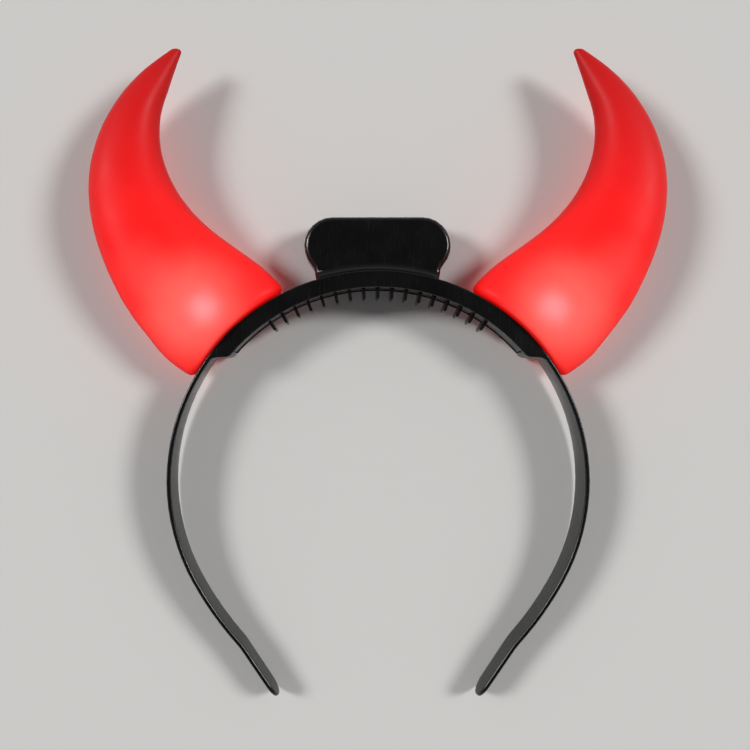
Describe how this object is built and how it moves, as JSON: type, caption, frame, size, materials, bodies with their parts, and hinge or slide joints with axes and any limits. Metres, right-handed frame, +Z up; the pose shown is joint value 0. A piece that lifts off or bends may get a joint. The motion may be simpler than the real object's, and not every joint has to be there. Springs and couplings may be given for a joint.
{
  "type": "light-up devil horns headband",
  "caption": "Curved plastic headband with a comb strip, a battery box on top and two hollow translucent red horns lit from inside.",
  "frame": {"origin": "centre of the bounding box at the surface that the headband lies on", "axes": "+X across the headband, +Y from the arm tips towards the horn tips, +Z up, out of the headband's front"},
  "size_m": [0.1948, 0.218, 0.0243],
  "materials": {
    "band_black": "glossy injection-moulded black ABS",
    "comb_black": "glossy injection-moulded black ABS",
    "cover_black": "satin black ABS",
    "horn_red": "satin translucent red plastic, lit from inside",
    "led_red": "clear tinted light, lit"
  },
  "bodies": {
    "root": {"band": "band_black", "comb_strip": "comb_black", "battery_cover": "cover_black", "horn_left": "horn_red", "horn_right": "horn_red", "led_left": "led_red", "led_right": "led_red"}
  },
  "joints": []
}
